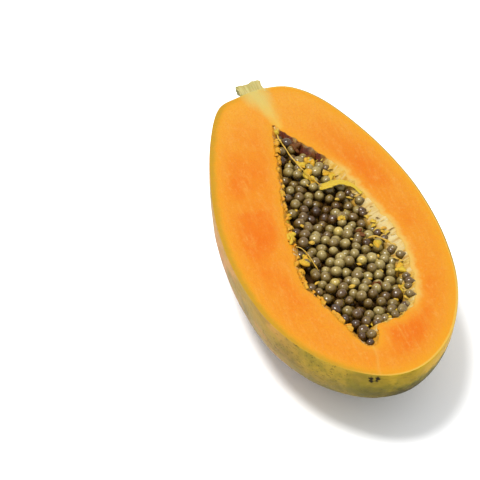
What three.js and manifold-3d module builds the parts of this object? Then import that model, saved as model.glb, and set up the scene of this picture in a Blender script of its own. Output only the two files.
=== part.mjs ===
// A ripe papaya cut in half along its length, lying on its skin with the cut face up.
// The fruit is one solid with an open seed cavity. A yellow membrane lines the cavity, dark seeds fill it,
// and the halved stub of the stalk stays on the blunt end. Millimetres, +Y towards the stalk, +Z up.
import * as THREE from "three";
import { mergeVertices } from "three/addons/utils/BufferGeometryUtils.js";
import Module from "manifold-3d";

const wasm = await Module();
wasm.setup();

// Driving dimensions
const HALF_DEPTH = 43; // cut face to the underside, before the resting spot is pressed flat
const REST_PRESS = 0.7; // how far the underside is flattened where it rests
const FRUIT_POLE = [1.6, -3]; // where the half is deepest, straight under its weight
const FRUIT_FULLNESS = 0.035; // how much fuller than an ellipse the fruit is below the cut
const CAVITY_DEPTH = 23;
const CAVITY_POLE = [6.5, -13];
const FIT_GAP = 0.35; // clear space between pieces that touch
const MEMBRANE_THICKNESS = 0.8;
const MEMBRANE_RIM_DROP = 0.4; // how far the membrane's edge stays under the cut face
const MEMBRANE_EDGE = 0.6; // width of that edge
const BED_EDGE_DROP = 3.2; // how far under the cut face the membrane meets the seeds
const SEED_DIAMETER = 4.7;
const SEED_LENGTH_RATIO = 1.06; // how much longer than an even ball a seed is
const SEED_SPREAD = 0.09; // seeds are this share larger or smaller than the usual one
const SEED_PITCH = 4.65; // spacing of the loose grid that the seeds start from
const SEED_JITTER = 2.4; // how far the seeds start off that grid
const SEED_LIFT = { low: -2, high: 1.5, start: 1 }; // how far seeds lie under or over the bed's surface
const SETTLING_PASSES = 80;
const CORE_DROP = 0.7; // how far the heap under the seeds lies below their centres
const CORE_EDGE_DROP = 5.2; // how far under the cut face that heap meets the membrane
const HEAP_TOLERANCE = 0.18; // details finer than this are left out of the heap
const STRAND_CLEARANCE = 0.5; // between a thread and the seeds that it presses down
const STUB_PLACE = { x: -1.1, y: 85.6, turnDeg: 6 };

// The bed's surface, as the height of the seeds' centres over the cut face
const BED_LEVEL = -3.3;
const BED_DIP = { x: 4, y: 8, width: 7.7, depth: 3.4 };
const BED_HEAP = { x: 6, y: -38, width: 11, length: 22, height: 1.1 };
const BED_RIGHT_SLOPE = { start: 12, rate: 0.09, power: 1.3 };
const BED_RIPPLE = { height: 0.5, acrossPerMm: 0.33, alongPerMm: 0.27 };

// Outlines on the cut face, from the stalk end and round by the right side
const FRUIT_OUTLINE = [
  [4, 89], [16, 87.5], [27, 76], [36.5, 55], [43.2, 32], [46.8, 8], [46.5, -20], [41.2, -47.6], [28.7, -72.4],
  [11, -87], [-7, -87.3], [-25.2, -74], [-37.6, -51], [-42.4, -22], [-41.4, 7], [-36.2, 34], [-28.4, 60],
  [-19.4, 79], [-9, 85.2],
];
const CAVITY_OUTLINE = [
  [1.2, 63.5], [6, 55], [13.5, 43.5], [20, 27], [25, 6], [28.7, -13], [27, -34], [22.3, -50.4], [14, -58.6],
  [3.8, -61.4], [1.4, -67], [-2.2, -71.9], [-6.8, -67], [-12.4, -50.5], [-18, -32], [-15.8, -14],
  [-12.8, 8], [-7.5, 33], [-2.2, 54],
];
const SEED_BED_OUTLINE = [
  [1, 60.5], [4.9, 52.8], [11.6, 41.5], [17, 26], [20.9, 7], [23.8, -13], [23.8, -33], [19.6, -48.8],
  [12.3, -56.4], [2.2, -59.6], [-0.4, -65], [-2.3, -68.4], [-5.4, -63.8], [-10.8, -49], [-16, -32],
  [-14, -14], [-11.2, 8], [-6.1, 33], [-1.3, 52],
];

// Half section of the stalk's stub, flared at both ends, as radius and height along its axis
const STUB_PROFILE = [
  [0, -4], [7.3, -4], [6.4, 0], [5.5, 3], [5.5, 5.5], [6.2, 7.8], [5.2, 9], [2.9, 8.1], [0, 8.6],
];

// Yellow threads of the membrane that lie across the seeds, as route points with a radius
const STRANDS = [
  { radius: 0.5, route: [[0.6, 60.6, -1.4], [0, 50, 0.4], [1.8, 36.4, 0.8], [5.2, 25.8, 0.6], [8.6, 18.8, 0]] },
  { radius: 0.75, route: [[22, 14.2, -1.7], [19.3, 18.6, 0.8], [14.5, 21.2, 1.1], [8, 19, 0.3]] },
  { radius: 0.55, route: [[25.8, -19.5, -2], [22.5, -16.5, 0], [18.8, -13.5, 0.2], [15.8, -12, -1.6]] },
  { radius: 0.5, route: [[-14.6, -9.5, -1.6], [-12.2, -14, -0.2], [-10.4, -20, -0.2], [-9.2, -26, -1.8]] },
];

// Mesh resolution: points round an outline and rings from rim to pole
const FRUIT_SIDES = 76;
const BED_SIDES = 48;
const SKIN_RINGS = 10;
const CAVITY_RINGS = 6;
const SEED_SIDES = 6;
const SEED_RINGS = 4;
const STUB_SIDES = 20;
const STRAND_STEPS = 12;

const seededRandom = (seed) => () => {
  seed = (seed + 0x6d2b79f5) >>> 0;
  let t = Math.imul(seed ^ (seed >>> 15), seed | 1);
  t ^= t + Math.imul(t ^ (t >>> 7), t | 61);
  return ((t ^ (t >>> 14)) >>> 0) / 4294967296;
};

// A smooth closed outline through the given points, as evenly counted points at one height.
function outlineRing(points, sides, z = 0) {
  const knots = points.map(([x, y]) => new THREE.Vector3(x, y, z));
  const curve = new THREE.CatmullRomCurve3(knots, true, "catmullrom", 0.5);
  return Array.from({ length: sides }, (_, i) => curve.getPoint(i / sides));
}

// The ring moved inwards (or outwards, if negative) along its own normals.
function insetRing(ring, distance) {
  return ring.map((p, i) => {
    const before = ring[(i + ring.length - 1) % ring.length];
    const after = ring[(i + 1) % ring.length];
    const along = after.clone().sub(before).normalize();
    return new THREE.Vector3(p.x + along.y * distance, p.y - along.x * distance, p.z);
  });
}

// Rings of a bowl under a rim: each is the rim drawn in towards the pole, on an elliptical or fuller curve.
function bowlRings(rim, [poleX, poleY], depth, rings, fullness = 0) {
  return Array.from({ length: rings }, (_, i) => {
    const angle = (i / rings) * (Math.PI / 2);
    const shrink = Math.cos(angle) * (1 + fullness * Math.sin(2 * angle));
    return rim.map(
      (p) =>
        new THREE.Vector3(
          poleX + (p.x - poleX) * shrink,
          poleY + (p.y - poleY) * shrink,
          p.z - (depth + p.z) * Math.sin(angle),
        ),
    );
  });
}

// A closed surface over a stack of rings, with a point closing each end.
function ringGeometry(startPoint, rings, endPoint) {
  const sides = rings[0].length;
  const points = [startPoint, ...rings.flat(), endPoint];
  const last = points.length - 1;
  const at = (ring, side) => 1 + ring * sides + (side % sides);
  const faces = [];
  for (let s = 0; s < sides; s++) {
    faces.push(0, at(0, s), at(0, s + 1));
    for (let r = 0; r + 1 < rings.length; r++) {
      faces.push(at(r, s), at(r + 1, s + 1), at(r, s + 1));
      faces.push(at(r, s), at(r + 1, s), at(r + 1, s + 1));
    }
    faces.push(last, at(rings.length - 1, s + 1), at(rings.length - 1, s));
  }
  const geometry = new THREE.BufferGeometry().setFromPoints(points);
  geometry.setIndex(faces);
  return geometry;
}

function toSolid(geometry) {
  const bare = geometry.clone();
  bare.deleteAttribute("normal");
  bare.deleteAttribute("uv");
  const merged = mergeVertices(bare, 1e-4);
  return new wasm.Manifold(
    new wasm.Mesh({
      numProp: 3,
      vertProperties: new Float32Array(merged.attributes.position.array),
      triVerts: new Uint32Array(merged.index.array),
    }),
  );
}

function toGeometry(solid) {
  const mesh = solid.getMesh();
  const geometry = new THREE.BufferGeometry();
  geometry.setAttribute("position", new THREE.BufferAttribute(mesh.vertProperties, 3));
  geometry.setIndex(new THREE.BufferAttribute(mesh.triVerts, 1));
  geometry.computeVertexNormals();
  return geometry;
}

const largestBody = (solid) =>
  solid.decompose().reduce((best, body) => (body.volume() > best.volume() ? body : best));

const pole = ([x, y], z) => new THREE.Vector3(x, y, z);

// A block that cuts away everything over (or, if down, under) the given height.
function cutter(height, down = false) {
  const size = 300;
  const block = new THREE.BoxGeometry(size, size, size);
  return toSolid(block.translate(0, 0, height + (down ? -size : size) / 2));
}

// The fruit's outer form down from its rim, closed flat over the top. It grows outwards by grow.
function fruitForm(grow) {
  const rim = insetRing(outlineRing(FRUIT_OUTLINE, FRUIT_SIDES, grow), -grow);
  const skin = bowlRings(rim, FRUIT_POLE, HALF_DEPTH + grow, SKIN_RINGS, FRUIT_FULLNESS).reverse();
  return ringGeometry(pole(FRUIT_POLE, -HALF_DEPTH - grow), skin, pole(FRUIT_POLE, grow));
}

// Skin and flesh in one piece: the skin's bowl, the flat cut face and the open seed cavity.
function papayaHalf() {
  const rim = outlineRing(FRUIT_OUTLINE, FRUIT_SIDES);
  const skin = bowlRings(rim, FRUIT_POLE, HALF_DEPTH, SKIN_RINGS, FRUIT_FULLNESS).reverse();
  const mouth = outlineRing(CAVITY_OUTLINE, FRUIT_SIDES);
  const cavity = bowlRings(mouth, CAVITY_POLE, CAVITY_DEPTH, CAVITY_RINGS);
  const fruit = toSolid(
    ringGeometry(pole(FRUIT_POLE, -HALF_DEPTH), [...skin, ...cavity], pole(CAVITY_POLE, -CAVITY_DEPTH)),
  );
  return fruit.subtract(cutter(REST_PRESS - HALF_DEPTH, true));
}

// The halved stub of the stalk, flared where it leaves the fruit and broken off rough.
function stemStub() {
  const profile = STUB_PROFILE.map(([radius, height]) => new THREE.Vector2(radius, height));
  const stub = new THREE.LatheGeometry(profile, STUB_SIDES);
  stub.rotateZ(THREE.MathUtils.degToRad(STUB_PLACE.turnDeg));
  stub.translate(STUB_PLACE.x, STUB_PLACE.y, 0);
  return largestBody(toSolid(stub).subtract(cutter(0)).subtract(toSolid(fruitForm(FIT_GAP))));
}

function strandSolid({ route, radius }, grow) {
  const section = new THREE.Shape().absarc(0, 0, radius + grow, 0, 2 * Math.PI);
  const extrudePath = new THREE.CatmullRomCurve3(route.map((p) => new THREE.Vector3(...p)));
  const settings = { steps: STRAND_STEPS, curveSegments: 3, bevelEnabled: false, extrudePath };
  return toSolid(new THREE.ExtrudeGeometry(section, settings));
}

// The yellow membrane between flesh and seeds, wide on the right, with threads that lie across the seeds.
function seedMembrane() {
  const depth = CAVITY_DEPTH - FIT_GAP;
  const wall = insetRing(outlineRing(CAVITY_OUTLINE, BED_SIDES, -MEMBRANE_RIM_DROP), FIT_GAP);
  const slope = outlineRing(SEED_BED_OUTLINE, BED_SIDES, -BED_EDGE_DROP);
  const outside = bowlRings(wall, CAVITY_POLE, depth, CAVITY_RINGS).reverse();
  const inside = bowlRings(slope, CAVITY_POLE, depth - MEMBRANE_THICKNESS, CAVITY_RINGS);
  const lining = ringGeometry(
    pole(CAVITY_POLE, -depth),
    [...outside, insetRing(wall, MEMBRANE_EDGE), ...inside],
    pole(CAVITY_POLE, -depth + MEMBRANE_THICKNESS),
  );
  const threads = STRANDS.map((strand) => strandSolid(strand, 0));
  return largestBody(wasm.Manifold.union([toSolid(lining), ...threads]));
}

// The room that the membrane leaves for the seeds, open upwards.
function seedRoom() {
  const gap = FIT_GAP + 0.1;
  const raise = 0.2;
  const top = 2 * SEED_DIAMETER;
  const floor = CAVITY_DEPTH - FIT_GAP - MEMBRANE_THICKNESS - FIT_GAP;
  const slope = insetRing(outlineRing(SEED_BED_OUTLINE, BED_SIDES, raise - BED_EDGE_DROP), gap);
  const wall = outlineRing(CAVITY_OUTLINE, BED_SIDES, -MEMBRANE_RIM_DROP);
  const edge = insetRing(wall, FIT_GAP + MEMBRANE_EDGE + gap);
  const above = edge.map((p) => new THREE.Vector3(p.x, p.y, top));
  const bowl = bowlRings(slope, CAVITY_POLE, floor, CAVITY_RINGS).reverse();
  return toSolid(ringGeometry(pole(CAVITY_POLE, -floor), [...bowl, edge, above], pole(CAVITY_POLE, top)));
}

// A low heap towards the blossom end, a dip near the middle and a slope down to the right wall.
function bedHeight(x, y) {
  const dipAway = ((x - BED_DIP.x) / BED_DIP.width) ** 2 + ((y - BED_DIP.y) / BED_DIP.width) ** 2;
  const heapAway = ((x - BED_HEAP.x) / BED_HEAP.width) ** 2 + ((y - BED_HEAP.y) / BED_HEAP.length) ** 2;
  const slope = BED_RIGHT_SLOPE.rate * Math.max(0, x - BED_RIGHT_SLOPE.start) ** BED_RIGHT_SLOPE.power;
  const ripple = Math.sin(BED_RIPPLE.acrossPerMm * x) * Math.sin(BED_RIPPLE.alongPerMm * y);
  const shape = BED_HEAP.height * Math.exp(-heapAway) - BED_DIP.depth * Math.exp(-dipAway) - slope;
  return BED_LEVEL + shape + BED_RIPPLE.height * ripple;
}

function insideRing(ring, x, y) {
  let inside = false;
  ring.forEach((a, i) => {
    const b = ring[(i + 1) % ring.length];
    if (a.y > y !== b.y > y && x < ((b.x - a.x) * (y - a.y)) / (b.y - a.y) + a.x) inside = !inside;
  });
  return inside;
}

// Seeds start on a loose grid and push each other apart until they lie like a poured heap.
function seedPlaces() {
  const random = seededRandom(11);
  const limit = insetRing(outlineRing(SEED_BED_OUTLINE, BED_SIDES), SEED_DIAMETER * 0.3);
  const seeds = [];
  for (let row = -20; row <= 20; row++) {
    for (let column = -9; column <= 10; column++) {
      const x = (column + (row % 2 ? 0.5 : 0)) * SEED_PITCH + (random() - 0.5) * SEED_JITTER;
      const y = row * SEED_PITCH * Math.cos(Math.PI / 6) + (random() - 0.5) * SEED_JITTER;
      const lift = (random() * 2 - 1) * SEED_LIFT.start;
      const radius = (SEED_DIAMETER / 2) * (1 + (random() * 2 - 1) * SEED_SPREAD);
      if (insideRing(limit, x, y)) seeds.push({ x, y, lift, z: bedHeight(x, y) + lift, radius });
    }
  }
  for (let pass = 0; pass < SETTLING_PASSES; pass++) {
    seeds.forEach((a, i) => {
      for (const b of seeds.slice(i + 1)) {
        const reach = a.radius + b.radius;
        const [dx, dy, dz] = [b.x - a.x, b.y - a.y, b.z - a.z];
        const far = Math.hypot(dx, dy, dz) || 1;
        if (far >= reach) continue;
        const push = (0.5 * (reach - far)) / far;
        for (const [seed, sign] of [[a, -1], [b, 1]]) {
          const [x, y] = [seed.x + sign * dx * push, seed.y + sign * dy * push];
          if (insideRing(limit, x, y)) [seed.x, seed.y] = [x, y];
          seed.lift = THREE.MathUtils.clamp(seed.lift + sign * dz * push, SEED_LIFT.low, SEED_LIFT.high);
        }
      }
    });
    for (const seed of seeds) seed.z = bedHeight(seed.x, seed.y) + seed.lift;
  }
  return seeds;
}

// A seed under a membrane thread is pressed down until it is clear of the thread.
function pressUnderStrands(seeds) {
  for (const { route, radius } of STRANDS) {
    const path = new THREE.CatmullRomCurve3(route.map((p) => new THREE.Vector3(...p)));
    for (const p of path.getPoints(40)) {
      for (const seed of seeds) {
        const clear = seed.radius + radius + STRAND_CLEARANCE;
        const flat = Math.hypot(seed.x - p.x, seed.y - p.y);
        if (flat < clear) seed.z = Math.min(seed.z, p.z - Math.sqrt(clear ** 2 - flat ** 2));
      }
    }
  }
}

// The seeds stand out of one dark heap that fills the membrane's bowl.
function seedHeap() {
  const seeds = seedPlaces();
  pressUnderStrands(seeds);
  const rim = outlineRing(SEED_BED_OUTLINE, BED_SIDES, -CORE_EDGE_DROP);
  const under = bowlRings(rim, CAVITY_POLE, CAVITY_DEPTH, 2).reverse();
  const top = [0.75, 0.5, 0.25].map((share) =>
    rim.map((p) => {
      const x = CAVITY_POLE[0] + (p.x - CAVITY_POLE[0]) * share;
      const y = CAVITY_POLE[1] + (p.y - CAVITY_POLE[1]) * share;
      return new THREE.Vector3(x, y, bedHeight(x, y) - CORE_DROP);
    }),
  );
  const topMiddle = pole(CAVITY_POLE, bedHeight(...CAVITY_POLE) - CORE_DROP);
  const core = toSolid(ringGeometry(pole(CAVITY_POLE, -CAVITY_DEPTH), [...under, ...top], topMiddle));
  const grains = seeds.map((seed, i) => {
    const grain = new THREE.SphereGeometry(seed.radius, SEED_SIDES, SEED_RINGS);
    grain.scale(1 / SEED_LENGTH_RATIO, 1 / SEED_LENGTH_RATIO, SEED_LENGTH_RATIO);
    grain.rotateX(0.5 * i);
    grain.rotateZ(1.3 * i);
    return toSolid(grain.translate(seed.x, seed.y, seed.z));
  });
  const heap = wasm.Manifold.union([core, ...grains]).intersect(seedRoom());
  const threads = STRANDS.map((strand) => strandSolid(strand, FIT_GAP));
  return largestBody(heap.subtract(wasm.Manifold.union(threads)).simplify(HEAP_TOLERANCE));
}

function piece(name, solid, colour, roughness) {
  const material = new THREE.MeshStandardMaterial({ color: colour, roughness, metalness: 0 });
  const mesh = new THREE.Mesh(toGeometry(solid), material);
  mesh.name = name;
  return mesh;
}

const papaya = new THREE.Group();
papaya.name = "halved papaya";
papaya.add(
  piece("papaya_half", papayaHalf(), 0xf5942a, 0.45),
  piece("stem_stub", stemStub(), 0xe2d588, 0.7),
  piece("seed_membrane", seedMembrane(), 0xf0c65a, 0.5),
  piece("seeds", seedHeap(), 0x5e5340, 0.35),
);

// The origin is under the middle of the whole, on the surface that the half rests on.
const extent = new THREE.Box3().setFromObject(papaya);
const middle = extent.getCenter(new THREE.Vector3());
papaya.position.set(-middle.x, -middle.y, -extent.min.z);

export default papaya;
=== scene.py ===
# %% [markdown]
# A ripe papaya cut in half along its length, lying on its skin with the cut face up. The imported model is
# the frame: it gives the size and the place of the fruit, its membrane, its seeds and the stub of its
# stalk. The model's solids could be coloured as they are, but they are coarse, so this lesson builds a
# finer surface over each of them, inside the frame's box.

# %% Load the frame
import math

import bpy
import numpy as np
from mathutils import Matrix, Vector


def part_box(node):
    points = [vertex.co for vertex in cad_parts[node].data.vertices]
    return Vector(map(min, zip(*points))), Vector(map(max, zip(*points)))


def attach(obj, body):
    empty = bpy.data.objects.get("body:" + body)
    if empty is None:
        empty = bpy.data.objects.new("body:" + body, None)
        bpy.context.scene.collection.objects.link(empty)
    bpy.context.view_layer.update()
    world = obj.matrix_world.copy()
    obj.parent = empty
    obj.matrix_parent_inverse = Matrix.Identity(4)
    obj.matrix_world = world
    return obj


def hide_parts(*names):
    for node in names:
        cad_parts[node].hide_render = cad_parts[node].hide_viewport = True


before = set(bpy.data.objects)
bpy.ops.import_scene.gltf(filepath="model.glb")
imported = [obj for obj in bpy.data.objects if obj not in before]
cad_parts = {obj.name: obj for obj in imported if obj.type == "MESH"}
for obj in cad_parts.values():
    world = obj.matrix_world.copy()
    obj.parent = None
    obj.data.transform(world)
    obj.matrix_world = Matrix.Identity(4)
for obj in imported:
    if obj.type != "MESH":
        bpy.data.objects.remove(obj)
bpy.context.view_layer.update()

# %% [markdown]
# All shapes are drawn in millimetres round one handy origin: a point in the middle of the cut face, with
# Y towards the stalk and Z up out of the cut face. The fruit, the mouth of its seed cavity and the bed of
# its seeds have lopsided outlines. They could be drawn by hand as Bezier curves. A short list of points
# for each is easier to change, and it is the same list that made the model.

# %% Outlines on the cut face
FRUIT_OUTLINE = [
    (4, 89), (16, 87.5), (27, 76), (36.5, 55), (43.2, 32), (46.8, 8), (46.5, -20), (41.2, -47.6),
    (28.7, -72.4), (11, -87), (-7, -87.3), (-25.2, -74), (-37.6, -51), (-42.4, -22), (-41.4, 7),
    (-36.2, 34), (-28.4, 60), (-19.4, 79), (-9, 85.2),
]
CAVITY_OUTLINE = [
    (1.2, 63.5), (6, 55), (13.5, 43.5), (20, 27), (25, 6), (28.7, -13), (27, -34), (22.3, -50.4),
    (14, -58.6), (3.8, -61.4), (1.4, -67), (-2.2, -71.9), (-6.8, -67), (-12.4, -50.5), (-18, -32),
    (-15.8, -14), (-12.8, 8), (-7.5, 33), (-2.2, 54),
]
SEED_BED_OUTLINE = [
    (1, 60.5), (4.9, 52.8), (11.6, 41.5), (17, 26), (20.9, 7), (23.8, -13), (23.8, -33), (19.6, -48.8),
    (12.3, -56.4), (2.2, -59.6), (-0.4, -65), (-2.3, -68.4), (-5.4, -63.8), (-10.8, -49), (-16, -32),
    (-14, -14), (-11.2, 8), (-6.1, 33), (-1.3, 52),
]
FRUIT_POLE = np.array([1.6, -3.0])
CAVITY_POLE = np.array([6.5, -13.0])
HALF_DEPTH = 43.0
FRUIT_FULLNESS = 0.035
CAVITY_DEPTH = 23.0
print(len(FRUIT_OUTLINE), "points round the fruit,", len(CAVITY_OUTLINE), "round its cavity")

# %% [markdown]
# A smooth curve through such points can be closed to a ring or left open as a line. A Bezier curve would
# need handles. A Catmull-Rom curve passes through every point without them, and three lines of sums make
# it.


# %% Curves through points
def curve_at(knots, place):
    """Points of a Catmull-Rom curve through the knots, at places counted in knots."""
    start = np.floor(place).astype(int)
    t = (place - start)[:, None]
    before, a, b, after = (knots[(start + step) % len(knots)] for step in (-1, 0, 1, 2))
    leave = (b - before) / 2
    arrive = (after - a) / 2
    cubic = 2 * a - 2 * b + leave + arrive
    square = 3 * b - 3 * a - 2 * leave - arrive
    return cubic * t**3 + square * t**2 + leave * t + a


def outline_ring(points, sides):
    """A smooth closed outline through the points."""
    return curve_at(np.array(points, float), np.arange(sides) / sides * len(points))


def open_line(points, count):
    """A smooth line through the points, from the first to the last."""
    knots = np.array(points, float)
    knots = np.vstack([2 * knots[:1] - knots[1:2], knots, 2 * knots[-1:] - knots[-2:-1]])
    return curve_at(knots, np.linspace(1, len(knots) - 2, count))


def inset(ring, distance):
    """The ring moved inwards along its own normals."""
    along = np.roll(ring, -1, 0) - np.roll(ring, 1, 0)
    along /= np.linalg.norm(along, axis=1)[:, None]
    return ring + distance * np.column_stack([along[:, 1], -along[:, 0]])


# %% [markdown]
# The frame says where the fruit lies in the model, so the origin of all drawings follows from the fruit's
# box. It could be fitted by eye, but then it would have to be fitted again after each change of the
# model.

# %% Origin in the frame
MM_PER_METRE = 1000
SIDES = 400
fruit_ring = outline_ring(FRUIT_OUTLINE, SIDES)
low, high = (np.array(corner) * MM_PER_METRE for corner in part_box("papaya_half"))
outline_middle = (fruit_ring.min(0) + fruit_ring.max(0)) / 2
ORIGIN = np.append((low + high)[:2] / 2 - outline_middle, high[2])
print("cut face origin in the frame, mm", ORIGIN.round(2))

# %% [markdown]
# The camera stands where the photographer stood: about 0.85 m away, looking down at the cut face from the
# blossom end. It could be moved until the picture looks right. Its place was worked out from the shape of
# the cut outline, which leaves no guesswork. A long lens keeps the perspective calm.

# %% Camera
CAMERA_PLACE = np.array([-250.8, -592.0, 557.0])
CAMERA_RIGHT = Vector((0.95459, -0.29134, 0.06229))
CAMERA_UP = Vector((0.14975, 0.64996, 0.74507))
LENS = 158.35
SENSOR_WIDTH = 36

camera_data = bpy.data.cameras.new("photo_camera")
camera_data.lens = LENS
camera_data.sensor_width = SENSOR_WIDTH
camera = bpy.data.objects.new("photo_camera", camera_data)
bpy.context.scene.collection.objects.link(camera)
backwards = CAMERA_RIGHT.cross(CAMERA_UP)
turn = Matrix((CAMERA_RIGHT, CAMERA_UP, backwards)).transposed().to_4x4()
camera.matrix_world = Matrix.Translation(Vector((CAMERA_PLACE + ORIGIN) / MM_PER_METRE)) @ turn
bpy.context.scene.camera = camera
print("camera at", [round(v, 3) for v in camera.location])

# %% [markdown]
# The colours of a fruit change from place to place by rules: yellower near the rim, darker in patches. In
# Blender such a rule is a net of shader nodes, which could be joined by hand. Written as sums it is
# shorter and can be read. One small class wraps the output of a node, so that 1 - mask adds the Math node
# for it. Colours go through Mix nodes, because a Math node would turn them grey, and every other node
# comes from one method.


# %% Shader arithmetic
class Wire:
    """The output of a shader node. Arithmetic on wires adds Math nodes to the same tree."""

    def __init__(self, tree, socket=None):
        self.tree = tree
        self.socket = socket

    def node(self, kind, settings=None, inputs=None, out=0):
        """A new node, given its type, its settings and the values or wires of its sockets."""
        made = self.tree.nodes.new("ShaderNode" + kind)
        for name, value in (settings or {}).items():
            if name == "stops":
                ramp = made.color_ramp
                while len(ramp.elements) < len(value):
                    ramp.elements.new(0.5)
                for element, (place, colour) in zip(ramp.elements, value):
                    element.position = place
                    element.color = colour
            else:
                setattr(made, name, value)
        for name, value in (inputs or {}).items():
            if isinstance(value, Wire):
                self.tree.links.new(value.socket, made.inputs[name])
            else:
                made.inputs[name].default_value = value
        return Wire(self.tree, made.outputs[out])

    def math(self, operation, *values):
        return self.node("Math", {"operation": operation}, dict(enumerate(values)))

    def __add__(self, other):
        return self.math("ADD", self, other)

    def __sub__(self, other):
        return self.math("SUBTRACT", self, other)

    def __rsub__(self, other):
        return self.math("SUBTRACT", other, self)

    def __mul__(self, other):
        return self.math("MULTIPLY", self, other)

    __radd__ = __add__
    __rmul__ = __mul__

    def step(self, start, end):
        """0 before start, 1 after end, and smooth between them. It falls if end is below start."""
        ends = {"Value": self, "From Min": start, "From Max": end}
        return self.node("MapRange", {"interpolation_type": "SMOOTHSTEP"}, ends)

    def mix(self, colour_a, colour_b):
        """colour_a where this mask is 0, colour_b where it is 1."""
        return self.node("Mix", {"data_type": "RGBA"}, {0: self, 6: colour_a, 7: colour_b}, out=2)

    def noise(self, scale, detail=3.0, roughness=0.5, distortion=0.0):
        """Cloudy noise between about 0.25 and 0.75, scale in features for each unit of this vector."""
        sockets = {"Vector": self, "Scale": scale, "Detail": detail}
        sockets |= {"Roughness": roughness, "Distortion": distortion}
        return self.node("TexNoise", None, sockets)

    def cells(self, scale):
        """Distance to the nearest of a scatter of points."""
        return self.node("TexVoronoi", None, {"Vector": self, "Scale": scale})

    def stretched(self, x, y, z):
        """This vector with each axis multiplied."""
        return self.node("VectorMath", {"operation": "MULTIPLY"}, {0: self, 1: (x, y, z)})

    def distance_to(self, point):
        return self.node("VectorMath", {"operation": "DISTANCE"}, {0: self, 1: point}, out=1)


# %% [markdown]
# A finish is one material of the fruit. Its constant values could be typed into each shader by hand. A
# small class sets them by name, gives the place on the surface in millimetres, and joins a result to the
# shader. Colours are written as they should look on a screen, and most are layers painted one over
# another.

# %% Colours and finishes
LIGHT_LEVEL = 2.0
SCREEN_GAMMA = 2.2


def srgb(red, green, blue):
    """A colour as it should look on a screen, from 0 to 255, as the linear colour for a shader.

    The light is stronger than white by LIGHT_LEVEL, so that the floor stays white, and the colour makes up
    for it.
    """
    shares = (np.array([red, green, blue]) / 255) ** SCREEN_GAMMA / LIGHT_LEVEL
    return (*shares.tolist(), 1.0)


def painted(colour, layers):
    """The colour with layers painted over it in turn. Each is a mask and a colour."""
    for mask, tint in layers:
        colour = mask.mix(colour, tint)
    return colour


class Finish:
    """A new material with its shader, its surface position in mm, and one method that connects a result."""

    def __init__(self, name, **constants):
        self.material = bpy.data.materials.new(name)
        self.material.use_nodes = True
        self.tree = self.material.node_tree
        self.shader = self.tree.nodes["Principled BSDF"]
        for socket, value in constants.items():
            self.shader.inputs[socket.replace("_", " ").title().replace("Ior", "IOR")].default_value = value
        self.any = Wire(self.tree)
        place = self.any.node("TexCoord", None, None, out=3)
        self.mm = place.stretched(MM_PER_METRE, MM_PER_METRE, MM_PER_METRE)

    def attribute(self, name):
        return self.any.node("Attribute", {"attribute_name": name}, None, out=2)

    def gap_to(self, point):
        """Distance in mm from a point that is given round the origin of the drawings."""
        return self.mm.distance_to(tuple((np.array(point) + ORIGIN).tolist()))

    def connect(self, socket, wire):
        self.tree.links.new(wire.socket, self.shader.inputs[socket])

    def bump(self, height, distance_mm, strength=1.0):
        sockets = {"Height": height, "Distance": distance_mm / MM_PER_METRE, "Strength": strength}
        self.connect("Normal", self.any.node("Bump", None, sockets))
        print(self.material.name, len(self.tree.nodes), "shader nodes")


# %% [markdown]
# The fruit lies on plain, nearly white paper. A curved backdrop is usual for such pictures, but from this
# height the camera only sees the floor, so one large flat square does.

# %% Floor
FLOOR_HALF_WIDTH = 3.0
FLOOR_CORNERS = ((-1, -1), (1, -1), (1, 1), (-1, 1))
floor_mesh = bpy.data.meshes.new("floor")
floor_points = [(x * FLOOR_HALF_WIDTH, y * FLOOR_HALF_WIDTH, 0) for x, y in FLOOR_CORNERS]
floor_mesh.from_pydata(floor_points, [], [(0, 1, 2, 3)])
floor = bpy.data.objects.new("floor", floor_mesh)
bpy.context.scene.collection.objects.link(floor)
paper = Finish("pale_paper", base_color=(0.97, 0.97, 0.97, 1), roughness=0.7)
floor_mesh.materials.append(paper.material)
print("floor", 2 * FLOOR_HALF_WIDTH, "m wide")

# %% [markdown]
# The light is that of a small studio. A sun lamp would give hard shadows. One broad round lamp high up
# and a little to the left sets the small highlight on every seed and throws a short soft shadow, and a
# bright even sky fills the shadows.

# %% Light
KEY_PLACE = Vector((-0.42, -0.1, 1.25))
KEY_TARGET = Vector((0, 0, 0.03))
KEY_WIDTH = 0.4
KEY_POWER = 9.6 * LIGHT_LEVEL
SKY_COLOUR = (0.98, 0.99, 1.0, 1)
SKY_STRENGTH = 0.49 * LIGHT_LEVEL

lamp = bpy.data.lights.new("key_lamp", "AREA")
lamp.shape = "DISK"
lamp.size = KEY_WIDTH
lamp.energy = KEY_POWER
lamp_holder = bpy.data.objects.new("key_lamp", lamp)
bpy.context.scene.collection.objects.link(lamp_holder)
lamp_holder.location = KEY_PLACE
lamp_holder.rotation_euler = (KEY_TARGET - KEY_PLACE).to_track_quat("-Z", "Y").to_euler()
world = bpy.data.worlds.new("studio")
world.use_nodes = True
world.node_tree.nodes["Background"].inputs["Color"].default_value = SKY_COLOUR
world.node_tree.nodes["Background"].inputs["Strength"].default_value = SKY_STRENGTH
bpy.context.scene.world = world
bpy.context.scene.view_settings.view_transform = "Standard"
print("lamp of", KEY_POWER, "W and a sky of strength", SKY_STRENGTH)

# %% [markdown]
# Every piece below is a mesh whose points are worked out with numpy. Modelling tools and modifiers could
# make the same forms, but sums keep every point in a known order, so that numbers such as the distance to
# the rim can go along with the points. One helper makes a piece, hangs it on the model's only body and
# names the slot of its finish. Another lays triangles over a stack of rings.


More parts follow.
